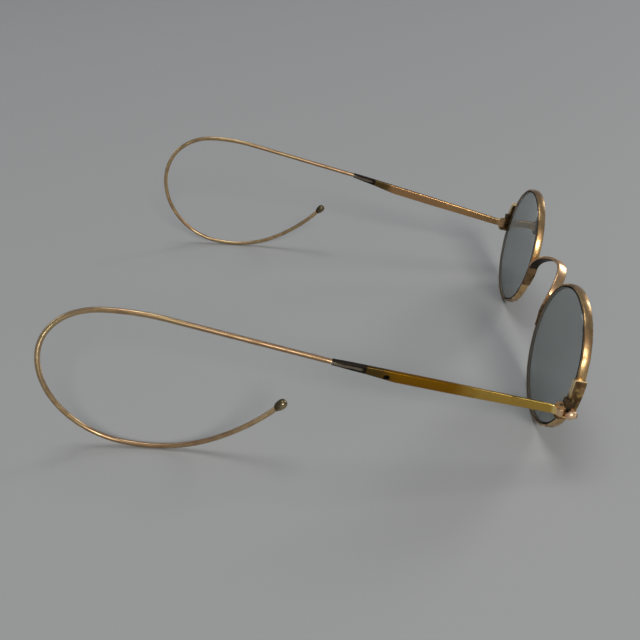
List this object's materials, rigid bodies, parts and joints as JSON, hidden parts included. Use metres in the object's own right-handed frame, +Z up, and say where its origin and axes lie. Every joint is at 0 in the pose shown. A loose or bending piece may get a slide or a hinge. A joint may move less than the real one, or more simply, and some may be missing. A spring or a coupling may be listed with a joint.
{
  "type": "windsor glasses",
  "caption": "Round-eyed metal spectacles with smoked lenses, a saddle bridge and folding temples that end in springy wound cable ear hooks.",
  "frame": {"origin": "under the middle of the object's box, on the surface that the rims and the ear hooks rest on", "axes": "+Z up, the front faces -Y, the open temples run back along +Y and the wearer's left is +X"},
  "size_m": [0.116, 0.14, 0.0446],
  "materials": {
    "smoked_glass": "polished, smoke grey-green",
    "rim_gold": "satin, worn gold plate",
    "bridge_copper_gold": "satin, copper showing through the gold",
    "endpiece_brass": "dark, tarnished",
    "screw_steel": "dull",
    "bar_gold": "polished, olive gold",
    "ferrule_grey": "dull grey with dark solder lines",
    "core_steel": "drawn wire",
    "cable_gold": "finely wound wire, tan gold",
    "tip_bronze": "dark, smooth"
  },
  "bodies": {
    "front": {"right_lens": "smoked_glass", "left_lens": "smoked_glass", "right_eyewire": "rim_gold", "left_eyewire": "rim_gold", "bridge": "bridge_copper_gold", "right_endpiece_upper": "endpiece_brass", "left_endpiece_upper": "endpiece_brass", "right_endpiece_lower": "endpiece_brass", "left_endpiece_lower": "endpiece_brass", "right_joint_screw": "screw_steel", "left_joint_screw": "screw_steel"},
    "right_temple": {"right_temple_bar": "bar_gold", "right_ferrule": "ferrule_grey", "right_core_wire": "core_steel", "right_cable_winding": "cable_gold", "right_tip": "tip_bronze"},
    "left_temple": {"left_temple_bar": "bar_gold", "left_ferrule": "ferrule_grey", "left_core_wire": "core_steel", "left_cable_winding": "cable_gold", "left_tip": "tip_bronze"}
  },
  "joints": [
    {"name": "right_temple_fold", "type": "hinge", "parent": "front", "child": "right_temple", "pos_m": [-0.05157, -0.06025, 0.018], "axis": [0, 0, -1], "range_deg": [0, 88], "deforming": ["right_core_wire", "right_cable_winding"]},
    {"name": "left_temple_fold", "type": "hinge", "parent": "front", "child": "left_temple", "pos_m": [0.05157, -0.06025, 0.018], "axis": [0, 0, 1], "range_deg": [0, 91], "deforming": ["left_core_wire", "left_cable_winding"]}
  ]
}
